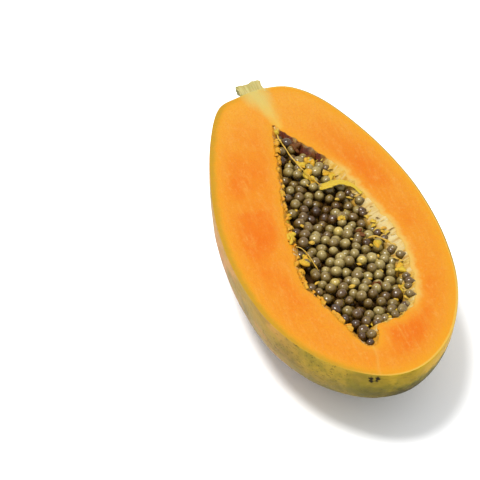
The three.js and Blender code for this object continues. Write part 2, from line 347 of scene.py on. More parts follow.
# %% Pieces and rings
def make_piece(name, points, faces, materials, replaces=None, attributes=None, material_index=None):
    """A smooth mesh in the model's frame, with the attributes that its finish reads."""
    mesh = bpy.data.meshes.new(name)
    mesh.from_pydata(((np.asarray(points) + ORIGIN) / MM_PER_METRE).tolist(), [], np.asarray(faces).tolist())
    for material in materials:
        mesh.materials.append(material)
    if material_index is not None:
        mesh.polygons.foreach_set("material_index", np.asarray(material_index, np.int32))
    mesh.polygons.foreach_set("use_smooth", np.ones(len(mesh.polygons), bool))
    for key, values in (attributes or {}).items():
        layer = mesh.attributes.new(key, "FLOAT", "POINT")
        layer.data.foreach_set("value", np.asarray(values, np.float32))
    mesh.update()
    piece = bpy.data.objects.new(name, mesh)
    bpy.context.scene.collection.objects.link(piece)
    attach(piece, "root")
    if replaces:
        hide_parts(replaces)
    print(name, len(mesh.vertices), "points", len(mesh.polygons), "faces")


def ring_faces(ring_count, sides):
    """Triangles over a stack of rings whose first and last point close the ends."""
    side = np.arange(sides)
    after = (side + 1) % sides
    last = 1 + ring_count * sides
    faces = [np.stack([np.zeros(sides, int), 1 + side, 1 + after], 1)]
    for ring in range(ring_count - 1):
        a = 1 + ring * sides
        b = a + sides
        faces.append(np.stack([a + side, b + after, a + after], 1))
        faces.append(np.stack([a + side, b + side, b + after], 1))
    top = last - sides
    faces.append(np.stack([np.full(sides, last), top + after, top + side], 1))
    return np.vstack(faces)


# %% [markdown]
# Nothing on a fruit is quite even, and its colours follow its edges. A Displace modifier could roughen a
# mesh. Here a plain sum of seeded random numbers does it, the same on every run, and small helpers
# measure how far a point lies from a line or a spot.

# %% Unevenness and distances
NOISE_TABLE_SIZE = 4096
HASH_PRIMES = (73856093, 19349663, 83492791)


def lattice_noise(points, size, seed):
    """Smooth noise between -1 and 1 at the points, with features about size mm across."""
    table = np.random.default_rng(seed).uniform(-1, 1, NOISE_TABLE_SIZE)
    cell = np.floor(points / size).astype(int)
    part = points / size - cell
    part = part * part * (3 - 2 * part)
    total = np.zeros(len(points))
    for corner in np.ndindex(2, 2, 2):
        spot = (cell + np.array(corner)) * HASH_PRIMES
        key = spot[:, 0] ^ spot[:, 1] ^ spot[:, 2]
        weight = np.prod(np.where(corner, part, 1 - part), axis=1)
        total += weight * table[key % NOISE_TABLE_SIZE]
    return total


def distance_to_line(points, line, closed=False):
    """Distance in the cut plane from each point to a line through the given places."""
    flat = points[:, :2]
    ends = np.roll(line, -1, 0) if closed else line[1:]
    starts = line if closed else line[:-1]
    nearest = np.full(len(flat), np.inf)
    for a, b in zip(starts, ends):
        along = b - a
        share = np.clip((flat - a) @ along / (along @ along), 0, 1)[:, None]
        nearest = np.minimum(nearest, np.linalg.norm(flat - a - share * along, axis=1))
    return nearest


def nearness(points, x, y, size):
    """1 at a place on the cut plane, fading out over size mm."""
    return np.exp(-((points[:, 0] - x) ** 2 + (points[:, 1] - y) ** 2) / size**2)


def ramp(values, start, end):
    """0 before start, 1 after end, and straight between them."""
    return np.clip((values - start) / (end - start), 0, 1)


# %% [markdown]
# The fruit itself is one closed surface of skin, cut face and cavity wall. It could be cut out of a ball
# with Boolean modifiers, which leave long thin triangles. Rings are better here: they run from the
# underside up over the skin to the rim, turn over a knife-sharp edge, cross the cut face to the mouth of
# the cavity and go down its wall. The knife tore the soft flesh at the mouth, so that ring is a little
# ragged.

# %% Fruit rings
SKIN_RINGS = 60
FACE_RINGS = 46
WALL_RINGS = 22
SKIN_CROWDING = 1.15
WALL_CROWDING = 1.1
EDGE_RADIUS = 0.35
EDGE_ANGLES = (0, 30, 60, 90)


def mouth_outline(sides):
    """The cavity's ragged mouth."""
    ring = outline_ring(CAVITY_OUTLINE, sides)
    places = np.column_stack([ring, np.zeros(sides)])
    wobble = 0.75 * lattice_noise(places, 3.6, 12) + 0.45 * lattice_noise(places, 1.5, 13)
    return inset(ring, wobble[:, None])


def bowl_ring(rim, pole, depth, share, fullness=0.0, top=0.0):
    """One ring of a bowl whose rim is at the height top: share 0 is the rim and share 1 the pole."""
    angle = share * math.pi / 2
    flat = pole + (rim - pole) * math.cos(angle) * (1 + fullness * math.sin(2 * angle))
    return np.column_stack([flat, np.full(len(rim), top - (depth + top) * math.sin(angle))])


mouth_ring = mouth_outline(SIDES)
rings = []
for step in range(SKIN_RINGS - 1, 0, -1):
    share = (step / SKIN_RINGS) ** SKIN_CROWDING
    rings.append(bowl_ring(fruit_ring, FRUIT_POLE, HALF_DEPTH, share, FRUIT_FULLNESS))
inward = FRUIT_POLE - fruit_ring
inward /= np.linalg.norm(inward, axis=1)[:, None]
for degrees in EDGE_ANGLES:
    lean = math.radians(degrees)
    flat = fruit_ring + inward * EDGE_RADIUS * (1 - math.cos(lean))
    rings.append(np.column_stack([flat, np.full(SIDES, EDGE_RADIUS * (math.sin(lean) - 1))]))
skin_ring_count = len(rings) - 2
cut_edge = fruit_ring + inward * EDGE_RADIUS
for step in range(1, FACE_RINGS):
    share = step / FACE_RINGS
    rings.append(np.column_stack([cut_edge + (mouth_ring - cut_edge) * share, np.zeros(SIDES)]))
for step in range(0, WALL_RINGS):
    rings.append(bowl_ring(mouth_ring, CAVITY_POLE, CAVITY_DEPTH, (step / WALL_RINGS) ** WALL_CROWDING))

underside = np.append(FRUIT_POLE, -HALF_DEPTH)
cavity_floor = np.append(CAVITY_POLE, -CAVITY_DEPTH)
fruit_points = np.vstack([underside[None], *rings, cavity_floor[None]])
fruit_faces = ring_faces(len(rings), SIDES)
print(len(rings), "rings of", SIDES, "points")

# %% [markdown]
# A cut face is never quite flat: the blade leaves faint waves, and the flesh sinks towards the cavity.
# The skin has shallow dents, and the ripe fruit is pressed flat where it rests. Sculpting by hand could
# show all this, but low noise on the points gives it evenly, and it can be kept inside the frame's box.

# %% Uneven face and skin
REST_LEVEL = 0.7 - HALF_DEPTH
FACE_DROP = 0.15
FACE_CALM_WIDTH = 1.5
SAG_DEPTH = 0.35
SAG_WIDTH = 3.0
SKIN_DROP = 0.2
SKIN_CALM_DEPTH = 4

from_rim = distance_to_line(fruit_points, fruit_ring, closed=True)
from_mouth = distance_to_line(fruit_points, mouth_ring, closed=True)
on_face = fruit_points[:, 2] > -0.01
waves = 0.10 * lattice_noise(fruit_points * [0.35, 1, 1], 7, 1) + 0.05 * lattice_noise(fruit_points, 2.2, 2)
sag = SAG_DEPTH * np.exp(-(from_mouth / SAG_WIDTH) ** 2)
face_change = (waves - FACE_DROP) * ramp(from_rim, 0, FACE_CALM_WIDTH) - sag
fruit_points[:, 2] += np.where(on_face, face_change, 0)

on_skin = np.arange(len(fruit_points)) < 1 + skin_ring_count * SIDES
below_cut = fruit_points[:, 2] < -0.3
dent = 0.16 * lattice_noise(fruit_points, 11, 3) + 0.05 * lattice_noise(fruit_points, 3, 4)
away = fruit_points - np.append(FRUIT_POLE, 0)
away /= np.linalg.norm(away, axis=1)[:, None]
skin_change = (dent - SKIN_DROP) * ramp(-fruit_points[:, 2], 0, SKIN_CALM_DEPTH)
fruit_points += away * np.where(on_skin & below_cut, skin_change, 0)[:, None]
fruit_points[:, 2] = np.maximum(fruit_points[:, 2], REST_LEVEL)
print("fruit depth", fruit_points[:, 2].min().round(2), "cut face up to", fruit_points[:, 2].max().round(3))

# %% [markdown]
# On the cut face a pale wedge leads from the stalk to the cavity's tip, and a fine seam from the cavity's
# other tip to the blossom end. The flesh is deeper orange in a few soft places, yellower at the stalk,
# olive under the left rim and paler beside the seeds on the right. These could be painted on a picture,
# but an attribute for each, a number from 0 to 1 on every point, needs no picture and stays sharp.

# %% Places on the cut face
WEDGE_LINE = np.array([(-1.3, 88), (0.2, 77), (2.2, 69), (2.8, 62.5)])
WEDGE_WIDTHS = ([58, 66, 76, 88], [1.4, 2.7, 4.9, 8.0])
SEAM_LINE = np.array([(-2.8, -71.5), (-3.4, -78), (-4.9, -83.5), (-5.8, -88.5)])
SEAM_WIDTH = 0.8
RIPE_PLACES = [
    (-26, 31, 17), (-22, 10, 15), (-31, -6, 13), (-30, -28, 14), (25, -52, 12), (12, -67, 12), (33, 22, 12),
]

across, along = fruit_points[:, 0], fruit_points[:, 1]
ragged_gap = distance_to_line(fruit_points, WEDGE_LINE)
ragged_gap += 0.8 * lattice_noise(fruit_points * [1, 0.35, 1], 2.4, 5)
beside_seeds = ramp(along, 40, 31) * ramp(along, -58, -50)
ripe_places = [nearness(fruit_points, *spot) for spot in RIPE_PLACES]
fruit_values = {
    "from_rim": from_rim,
    "from_seeds": from_mouth,
    "wedge": np.clip(1.2 - ragged_gap / np.interp(along, *WEDGE_WIDTHS), 0, 1) * 0.95,
    "wedge_height": ramp(along, 62, 82),
    "seam": ramp(distance_to_line(fruit_points, SEAM_LINE), SEAM_WIDTH, 0),
    "pale_side": beside_seeds / (1 + np.exp(-(across - 6) / 3)),
    "left_side": ramp(across, 4, -20),
    "ripe": np.max(ripe_places, axis=0),
    "stalk_end": ramp(along, 42, 78),
    "right_edge": ramp(along, -50, -30) * ramp(across, 12, 22),
}
print(len(fruit_values), "attributes on the fruit")

# %% [markdown]
# Ripe papaya flesh is orange, deeper in soft patches, with faint streaks along the fruit and fine pale
# flecks. It is moist and lets a little light in. A photograph wrapped on it would repeat or smear, so
# layers of noise are painted over two oranges instead, and weaker near the rim and the seeds.

# %% Flesh colours
flesh = Finish(
    "papaya_flesh", roughness=0.45, specular_ior_level=0.1, subsurface_weight=0.15,
    subsurface_radius=(0.004, 0.0015, 0.0005), subsurface_scale=1.0,
)
place = flesh.mm
rim_gap = flesh.attribute("from_rim")
seed_gap = flesh.attribute("from_seeds")
middle_band = rim_gap.step(3, 12) * seed_gap.step(0.5, 7)
clouds = place.noise(0.03, 3.0, 0.55, 0.4).step(0.4, 0.64)
ripe = (clouds * 0.5 + flesh.attribute("ripe") * 0.45) * middle_band
blotches = place.stretched(1, 0.6, 1).noise(0.13, 4.0, 0.65, 0.6).step(0.4, 0.66)
streaks = place.stretched(1, 0.16, 1).noise(0.4, 4.0, 0.6).step(0.45, 0.75)
grain = place.noise(0.9, 4.0, 0.65).step(0.35, 0.7)
flecks = place.stretched(1, 0.5, 1).noise(0.7, 5.0, 0.75).step(0.52, 0.66)
flesh_colour = painted(ripe.step(0, 1).mix(srgb(249, 157, 38), srgb(247, 122, 14)), [
    (flesh.attribute("stalk_end") * 0.75, srgb(253, 180, 58)),
    (blotches * 0.3 * middle_band, srgb(250, 138, 30)),
    (streaks * 0.5, srgb(252, 172, 66)),
    (grain * 0.25, srgb(232, 120, 24)),
    (flecks * 0.35, srgb(255, 180, 88)),
])

# %% [markdown]
# Towards the skin the flesh turns yellow and ends in a thin line: olive on the left, partly the green under
# the skin and partly painted shade, pale along the rest of the rim and brownish at the right edge. Round the
# cavity it is paler. The wedge, the seam and a small hole at the cavity's tip, painted dark as shade, come
# last. Each could be a strip of its own, but they are colours of one cut surface, so they are layers too,
# with noise added to their distances to make them ragged.

# %% Flesh edges
TIP_HOLE = (0.5, 63.4, -0.2)
left_side = flesh.attribute("left_side")
pale_side = flesh.attribute("pale_side")
seam = flesh.attribute("seam")
ragged_rim = rim_gap + (place.noise(0.25, 3.0, 0.55) - 0.5) * 2.4
ragged_mouth = seed_gap + (place.noise(0.5, 3.0, 0.6) - 0.5) * 2.2
mouth_tint = pale_side.mix(srgb(249, 166, 36), srgb(246, 196, 96))
wedge_tint = flesh.attribute("wedge_height").mix(srgb(250, 190, 72), srgb(230, 204, 112))
# The hole at the cavity's tip is painted shade: a dark spot, with a dent in the bump.
shaded_tip_hole = (flesh.gap_to(TIP_HOLE) + (place.noise(1.5) - 0.5) * 0.6).step(1.0, 0.45)
flesh_colour = painted(flesh_colour, [
    (ragged_rim.step(6.0, 0.8), srgb(248, 166, 34)),
    # The olive line on the left is partly the green under the skin and partly painted shade.
    (ragged_rim.step(3.6, 0.4) * left_side * 0.95, srgb(206, 158, 40)),
    (rim_gap.step(1.3, 0.4) * (1 - left_side) * 0.8, srgb(240, 202, 92)),
    (rim_gap.step(0.75, 0.35) * flesh.attribute("right_edge") * 0.9, srgb(168, 132, 44)),
    (ragged_mouth.step(3.4, 0.5) * (pale_side * 0.35 + 0.6), mouth_tint),
    (flesh.attribute("wedge"), wedge_tint),
    (seam * 0.5, srgb(250, 186, 84)),
    # Painted shade of the hole at the cavity's tip.
    (shaded_tip_hole * 0.9, srgb(120, 70, 12)),
])
flesh.connect("Base Color", flesh_colour)
flesh.connect("Roughness", grain * 0.12 + 0.38)
flesh.bump(grain * 0.6 + streaks * 0.5 - seam * 0.6 - shaded_tip_hole * 3, 0.14, 0.7)

# %% [markdown]
# The skin is thin and smooth, golden with green clouds, tan and reddish on the left and olive to yellow
# at the blossom end. It carries darker patches, fine lines along the fruit, specks and round freckles.
# Real skin is printed by growth, not by a pattern, so every kind of mark is a noise of its own size and
# stretch.

# %% Skin colours and marks
skin = Finish("papaya_skin", roughness=0.5, specular_ior_level=0.05)
place = skin.mm
across, along, height = (skin.any.node("SeparateXYZ", None, {"Vector": place}, out=axis) for axis in range(3))
left_side = across.step(10, -20)
blossom_end = along.step(-42, -76)
green_clouds = place.noise(0.05, 4.0, 0.6, 0.5).step(0.44, 0.58)
patches = place.stretched(1, 0.45, 1).noise(0.11, 4.0, 0.6, 0.8).step(0.52, 0.62)
warm = place.stretched(1, 0.6, 1).noise(0.07, 4.0, 0.6).step(0.42, 0.58)
lines = place.stretched(1, 0.16, 1).noise(0.5, 5.0, 0.7, 0.4).step(0.55, 0.68)
fine = place.noise(0.7, 4.0, 0.65).step(0.35, 0.7)
speck_areas = place.noise(0.06, 2.0).step(0.42, 0.6)
specks = place.stretched(1, 0.6, 1).noise(0.75, 5.0, 0.75).step(0.54, 0.63) * speck_areas
freckles = (0.12 - place.cells(0.4)).step(0.0, 0.05) * place.noise(0.08, 2.0).step(0.45, 0.6)
dash_areas = place.noise(0.12, 2.0).step(0.4, 0.56)
dashes = place.stretched(0.4, 1, 1.5).noise(0.7, 5.0, 0.75).step(0.5, 0.6) * dash_areas

gold = green_clouds.mix(fine.mix(srgb(206, 156, 34), srgb(218, 176, 56)), srgb(132, 128, 34))
tan = warm.mix(srgb(186, 154, 80), srgb(230, 160, 102))
olive = warm.mix(srgb(138, 130, 16), srgb(196, 170, 24))
patch_tint = left_side.mix(srgb(92, 96, 36), srgb(112, 100, 56))
skin_colour = painted(gold, [
    (blossom_end * 0.9, olive),
    (left_side * (1 - blossom_end * 0.75) * 0.9, tan),
    (fine * 0.2, srgb(198, 170, 90)),
    (patches * (0.4 - blossom_end * 0.15), patch_tint),
    (lines * (height.step(36, 22) * 0.35 + 0.15), srgb(76, 66, 30)),
    (specks * (blossom_end * 0.3 + 0.5), srgb(58, 56, 14)),
    (dashes * blossom_end * (1 - left_side) * 0.9, srgb(70, 80, 12)),
    (freckles * 0.7, srgb(72, 60, 18)),
])

# %% [markdown]
# Just under the rim runs a ragged bright yellow band, fainter on the left. Below it the blossom end is
# painted dark green as shade, and the underside is painted browner as shade. A small scar of four dark
# spots is left where the blossom was. The bands follow the height over the floor, and the scar the
# distance from its spots, so no seam can show.

# %% Skin bands and scar
SCAR_SPOTS = [(-9.0, -87.0, -1.9), (-8.4, -86.4, -3.2), (-6.3, -87.2, -1.6), (-6.5, -86.8, -2.9)]
ragged_height = height + (place.noise(0.2, 4.0, 0.65) - 0.5) * 10
less_on_left = 0.9 - left_side * 0.6
rim_band = ragged_height.step(34.5, 38.5) * less_on_left * (1 - across.step(15, 6) * blossom_end * 0.6)
rim_tint = left_side.mix(srgb(255, 198, 50), srgb(220, 170, 60))
scar_rags = (place.noise(1.4) - 0.5) * 1.4
skin_colour = painted(skin_colour, [
    (rim_band, rim_tint),
    # Painted shade: the blossom end below the rim band goes dark green.
    (ragged_height.step(37.5, 30) * blossom_end * less_on_left, srgb(48, 44, 8)),
    # Painted shade: the skin darkens towards the floor.
    (ragged_height.step(22, 6) * (1 - blossom_end) * 0.6, srgb(92, 70, 30)),
    *[((skin.gap_to(spot) + scar_rags).step(1.3, 0.6), srgb(46, 38, 20)) for spot in SCAR_SPOTS],
])
skin.connect("Base Color", skin_colour)
skin.connect("Roughness", fine * 0.15 + 0.42)
skin.bump(fine * 0.4 + specks * 0.3 + place.noise(0.15, 3.0) * 0.8, 0.25, 0.5)

# %% [markdown]
# Flesh and skin are one body, so they are one mesh with two materials. Two meshes could meet at the rim,
# but a gap might show between them. A face belongs to the skin when all its points lie at or outside the
# rim.

# %% Fruit piece
is_skin = fruit_faces.max(1) < 1 + (skin_ring_count + 1) * SIDES
make_piece(
    "papaya_fruit", fruit_points, fruit_faces, [flesh.material, skin.material],
    replaces="papaya_half", material_index=is_skin.astype(int), attributes=fruit_values,
)

# %% [markdown]
# The seeds hang on a soft yellow membrane that lines the cavity. On the right it is slack and slopes down
# to the seeds as a pale band with fibres running down it. A thin sheet with a Solidify modifier could
# stand for it. One closed shell of rings fits better here: an outside that follows the flesh, a ragged
# lip just under the cut face, the slope with ridges for its fibres, and an inside below the seeds.

# %% Membrane shell
LINING_SIDES = 720
OUTSIDE_RINGS = 20
SLOPE_RINGS = 14
INSIDE_RINGS = 16
LIP_LEVEL = -0.22
OUTSIDE_DROP = 1.5
BED_EDGE_LEVEL = -3.9
LINING_DEPTH = 22.6
LINING_THICKNESS = 0.8
MIDDLE_LINE = ([-72, -30, 60], [-2, 2, 0])

wall_ring = mouth_outline(LINING_SIDES)
bed_ring = inset(outline_ring(SEED_BED_OUTLINE, LINING_SIDES), 1.2)
arc = np.cumsum(np.linalg.norm(wall_ring - np.roll(wall_ring, 1, 0), axis=1))


def right_of_middle(points, width):
    """0 left of a line down the cavity's middle and 1 from width mm right of it."""
    return ramp(points[:, 0] - np.interp(points[:, 1], *MIDDLE_LINE), 0, width)


def fibres(share, size, seed):
    """Noise for each side of the ring that is short round the cavity and long down the slope."""
    return lattice_noise(np.column_stack([arc / size, np.full(len(arc), share * 1.6), arc * 0]), 1.0, seed)


on_right = right_of_middle(wall_ring, 3)
on_left = on_right < 0.1
on_right *= ramp(wall_ring[:, 1], -60, -54) * ramp(wall_ring[:, 1], 46, 40)
lip_level = LIP_LEVEL - 0.5 * (1 - on_right)
lip = inset(wall_ring, 0.15)
slope = []
slope_fibres = []
for step in range(SLOPE_RINGS + 1):
    share = step / SLOPE_RINGS
    level = lip_level + (BED_EDGE_LEVEL - lip_level) * share**1.15
    ridge = 0.5 * fibres(share, 1.0, 22) + 0.3 * fibres(share, 0.45, 23) + 0.4 * fibres(share, 3.1, 24)
    ridge *= 0.25 + 0.75 * math.sin(math.pi * min(1, share * 1.3) * 0.5)
    slope.append(np.column_stack([lip + (bed_ring - lip) * share, np.minimum(level + ridge, -0.05)]))
    slope_fibres.append(0.6 * fibres(share * 0.5, 0.7, 27) + 0.5 * fibres(share * 0.5, 1.9, 28))
outside_rim = inset(wall_ring, -0.3)
outside = [
    bowl_ring(outside_rim, CAVITY_POLE, LINING_DEPTH, step / OUTSIDE_RINGS, top=LIP_LEVEL - OUTSIDE_DROP)
    for step in range(OUTSIDE_RINGS - 1, -1, -1)
]
inside = [
    bowl_ring(bed_ring, CAVITY_POLE, LINING_DEPTH - LINING_THICKNESS, step / INSIDE_RINGS, top=BED_EDGE_LEVEL)
    for step in range(1, INSIDE_RINGS)
]
lining_rings = [*outside, *slope, *inside]
lining_bottom = np.append(CAVITY_POLE, -LINING_DEPTH)
lining_floor = np.append(CAVITY_POLE, LINING_THICKNESS - LINING_DEPTH)
lining_points = np.vstack([lining_bottom, *lining_rings, lining_floor])
print("membrane slope up to", round(max(ring[:, 2].max() for ring in slope), 2))

# %% [markdown]
# The membrane is stained dark red-brown near the upper right, nearly white along one stretch of the
# slope, and as orange as the flesh on the left, where it is torn away. As on the fruit, attributes carry
# these places.

# %% Places on the membrane
STAIN_LINE = np.array([(2.6, 57.5), (5.6, 50.5), (9.4, 45.0), (13.0, 39.8)])
STAIN_WIDTH = 3.6
WHITE_LINE = np.array([(22.5, 6), (26.2, -10), (26.0, -26)])
WHITE_WIDTH = 2.6

stain = 1.35 - distance_to_line(lining_points, STAIN_LINE) / STAIN_WIDTH
slope_start = 1 + len(outside) * LINING_SIDES
fibre_values = np.zeros(len(lining_points))
fibre_values[slope_start:slope_start + len(slope) * LINING_SIDES] = np.concatenate(slope_fibres)
torn = np.clip(1.2 + lining_points[:, 2] / 4, 0, 1)
lining_values = {
    "sunk": ramp(-lining_points[:, 2], 0, 4),
    "stain": np.clip(stain + 0.3 * lattice_noise(lining_points, 1.3, 25), 0, 1),
    "fleshy": (1 - right_of_middle(lining_points, 4)) * torn,
    "white": np.clip(1.3 - distance_to_line(lining_points, WHITE_LINE) / WHITE_WIDTH, 0, 1),
    "fibre": fibre_values,
    "tone": np.full(len(lining_points), 0.5),
}
print(len(lining_values), "attributes on the membrane")

# %% [markdown]
# The membrane is moist and stringy: cream and yellow, deeper yellow lower down, with brownish fibres and
# paler ones between them. The same finish also serves the threads, tongues and clumps further on. Each of
# those could have a material of its own, but a number called tone does it: it makes them browner, paler
# or yellower.

# %% Membrane finish
membrane = Finish(
    "papaya_membrane", roughness=0.4, specular_ior_level=0.12, subsurface_weight=0.2,
    subsurface_radius=(0.002, 0.0014, 0.0006), subsurface_scale=1.0,
)
place = membrane.mm
fine = place.noise(1.6, 4.0, 0.65).step(0.35, 0.68)
broad = place.noise(0.35, 3.0).step(0.4, 0.62)
tone = membrane.attribute("tone")
along_fibre = membrane.attribute("fibre")
cream = painted(broad.mix(srgb(248, 206, 108), srgb(244, 186, 66)), [
    (membrane.attribute("sunk").step(0.5, 1.1) * 0.7, srgb(230, 164, 44)),
    (fine * 0.35, srgb(204, 148, 50)),
])
toned = tone.step(0.0, 0.5).mix(srgb(84, 48, 20), tone.step(0.5, 1.0).mix(cream, srgb(240, 200, 62)))
flesh_tint = fine.mix(srgb(252, 172, 44), srgb(244, 138, 24))
stain_tint = fine.mix(srgb(112, 34, 8), srgb(66, 22, 6))
membrane.connect("Base Color", painted(toned, [
    (membrane.attribute("fleshy") * 0.9, flesh_tint),
    (membrane.attribute("white") * 0.65, srgb(246, 228, 168)),
    (along_fibre.step(0.1, 0.6) * 0.75, srgb(208, 148, 48)),
    (along_fibre.step(-0.15, -0.6) * 0.5, srgb(254, 238, 186)),
    (membrane.attribute("stain") * 0.97, stain_tint),
]))
membrane.connect("Roughness", fine * 0.2 + 0.28)
membrane.bump(fine, 0.15, 0.6)
make_piece(
    "membrane_lining", lining_points, ring_faces(len(lining_rings), LINING_SIDES), [membrane.material],
    replaces="seed_membrane", attributes=lining_values,
)

# %% [markdown]
# The seeds are round, about 5 mm, and lie like a poured heap with a dip near the middle. They could be
# dropped as rigid bodies, but then they would not match the model. Instead this repeats the rule that
# placed the model's seeds, with the same random numbers: they start on a loose grid, at heights that
# follow the heap.

# %% Seeds on a loose grid
SEED_DIAMETER = 4.7
SEED_LENGTH_RATIO = 1.06
SEED_SPREAD = 0.09
SEED_PITCH = 4.65
SEED_JITTER = 2.4
RANDOM_SEED = 11
LIMIT_SIDES = 48
BED_LEVEL = -3.3
DIP_DEPTH = 3.4
DIP_WIDTH = 7.7
HEAP_HEIGHT = 1.1
RIPPLE_HEIGHT = 0.5


def seeded_random(seed):
    """Even random numbers from 0 to 1, made with 32-bit whole numbers."""
    full = 0xFFFFFFFF
    while True:
        seed = (seed + 0x6D2B79F5) & full
        t = ((seed ^ (seed >> 15)) * (seed | 1)) & full
        t ^= (t + (((t ^ (t >> 7)) * (t | 61)) & full)) & full
        yield ((t ^ (t >> 14)) & full) / 4294967296


def bed_height(x, y):
    """Height of the seeds' centres: a low heap, a dip near the middle and a slope down to the right wall."""
    dip = DIP_DEPTH * np.exp(-((x - 4) ** 2 + (y - 8) ** 2) / DIP_WIDTH**2)
    heap = HEAP_HEIGHT * np.exp(-(((x - 6) / 11) ** 2) - ((y + 38) / 22) ** 2)
    right_slope = 0.09 * np.maximum(0, x - 12) ** 1.3
    return BED_LEVEL + heap - dip - right_slope + RIPPLE_HEIGHT * np.sin(0.33 * x) * np.sin(0.27 * y)


def inside_ring(ring, x, y):
    """Whether a place lies inside the ring: a line from it to one side crosses the ring an odd number
    of times."""
    after = np.roll(ring, -1, 0)
    crossing = (ring[:, 1] > y) != (after[:, 1] > y)
    a, b = ring[crossing], after[crossing]
    return np.sum(x < (b[:, 0] - a[:, 0]) * (y - a[:, 1]) / (b[:, 1] - a[:, 1]) + a[:, 0]) % 2 == 1


random = seeded_random(RANDOM_SEED)
limit_ring = inset(outline_ring(SEED_BED_OUTLINE, LIMIT_SIDES), SEED_DIAMETER * 0.3)
seeds = []
for row in range(-20, 21):
    for column in range(-9, 11):
        x = (column + (0.5 if row % 2 else 0)) * SEED_PITCH + (next(random) - 0.5) * SEED_JITTER
        y = row * SEED_PITCH * math.cos(math.pi / 6) + (next(random) - 0.5) * SEED_JITTER
        lift = next(random) * 2 - 1
        radius = SEED_DIAMETER / 2 * (1 + (next(random) * 2 - 1) * SEED_SPREAD)
        if inside_ring(limit_ring, x, y):
            seeds.append([x, y, lift, radius])
seeds = np.array(seeds)
print(len(seeds), "seeds on the grid")

# %% [markdown]
# Where two seeds touch they push each other apart, over and over, the way grains settle. A physics engine
# does the same with more care, but eighty plain passes are quick and always give the same heap.

# %% Settling
SETTLING_PASSES = 80
LOWEST_LIFT = -2.0
HIGHEST_LIFT = 1.5


def push_apart(seeds, i, height):
    """Moves seed i and all later seeds that it touches apart, each by half of their overlap."""
    steps = np.column_stack([seeds[i + 1:, :2] - seeds[i, :2], height[i + 1:] - height[i]])
    far = np.linalg.norm(steps, axis=1)
    reach = seeds[i + 1:, 3] + seeds[i, 3]
    for j in np.nonzero(far < reach)[0]:
        push = 0.5 * (reach[j] - far[j]) / far[j] * steps[j]
        for k, sign in ((i, -1), (i + 1 + j, 1)):
            moved = seeds[k, :2] + sign * push[:2]
            if inside_ring(limit_ring, *moved):
                seeds[k, :2] = moved
            seeds[k, 2] = np.clip(seeds[k, 2] + sign * push[2], LOWEST_LIFT, HIGHEST_LIFT)


for settling in range(SETTLING_PASSES):
    height = bed_height(seeds[:, 0], seeds[:, 1]) + seeds[:, 2]
    for i in range(len(seeds) - 1):
        push_apart(seeds, i, height)
seed_centres = np.column_stack([seeds[:, :2], bed_height(seeds[:, 0], seeds[:, 1]) + seeds[:, 2]])
print("seeds settled, lifts from", seeds[:, 2].min().round(2), "to", seeds[:, 2].max().round(2))

# %% [markdown]
# Six smaller seeds sit in the two narrow tips of the cavity, where the grid has none. Threads of membrane
# lie across the heap, and a seed under a thread is pressed down until it is clear of it. Last, each seed
# is moved a little and made a little smaller or larger than its coarse one, because an even grid would
# show through.

# %% Tip seeds and pressed seeds
TIP_SEEDS = np.array([
    (1.2, 57.4, -2.6, 2.0), (2.6, 53.2, -3.4, 2.1), (-2.2, -68.0, -2.6, 2.1),
    (-4.9, -65.2, -2.4, 2.0), (-1.2, -64.4, -1.9, 2.2), (-3.6, -61.4, -1.6, 2.3),
])
STRANDS = [
    (0.5, [(0.6, 60.6, -1.4), (0, 50, 0.4), (1.8, 36.4, 0.8), (5.2, 25.8, 0.6), (8.6, 18.8, 0)]),
    (0.75, [(22, 14.2, -1.7), (19.3, 18.6, 0.8), (14.5, 21.2, 1.1), (8, 19, 0.3)]),
    (0.55, [(25.8, -19.5, -2), (22.5, -16.5, 0), (18.8, -13.5, 0.2), (15.8, -12, -1.6)]),
    (0.5, [(-14.6, -9.5, -1.6), (-12.2, -14, -0.2), (-10.4, -20, -0.2), (-9.2, -26, -1.8)]),
]
STRAND_CLEARANCE = 0.5
SEED_SHIFT = 0.32

seed_centres = np.vstack([seed_centres, TIP_SEEDS[:, :3]])
seed_radii = np.append(seeds[:, 3], TIP_SEEDS[:, 3])
for radius, route in STRANDS:
    for point in open_line(route, 40):
        clear = seed_radii + radius + STRAND_CLEARANCE
        flat = np.linalg.norm(seed_centres[:, :2] - point[:2], axis=1)
        under = np.sqrt(np.maximum(clear**2 - flat**2, 0))
        pressed = np.minimum(seed_centres[:, 2], point[2] - under)
        seed_centres[:, 2] = np.where(flat < clear, pressed, seed_centres[:, 2])
seed_chance = np.random.default_rng(5)
seed_centres = seed_centres + seed_chance.normal(0, SEED_SHIFT, seed_centres.shape) * [1, 1, 0.8]
seed_radii = seed_radii * seed_chance.uniform(0.86, 1.04, len(seed_radii))
print(len(seed_centres), "seeds, highest top", (seed_centres[:, 2] + seed_radii).max().round(2))

# %% [markdown]
# Each seed is a slightly drawn-out ball in a wet, clear skin, a little lumpy, with its own size and turn.
# Copies of one ball would look alike, so each gets its own lumps from the noise. All seeds then become
# one mesh, which keeps the scene light. Two attributes go along: a tint, and how far each point faces up,
# which the finish uses to paint shade on the lower side.

# %% Small forms
TOP_LEVEL = 1.95


def joined(parts):
    """Many small forms as one mesh. Each part brings its points, its faces and numbers for the finish."""
    starts = np.cumsum([0] + [len(points) for points, _, _ in parts])
    points = np.vstack([points for points, _, _ in parts])
    faces = np.vstack([faces + start for (_, faces, _), start in zip(parts, starts)])
    values = {
        key: np.concatenate([np.broadcast_to(value[key], len(part)) for part, _, value in parts])
        for key in parts[0][2]
    }
    return points, faces, values


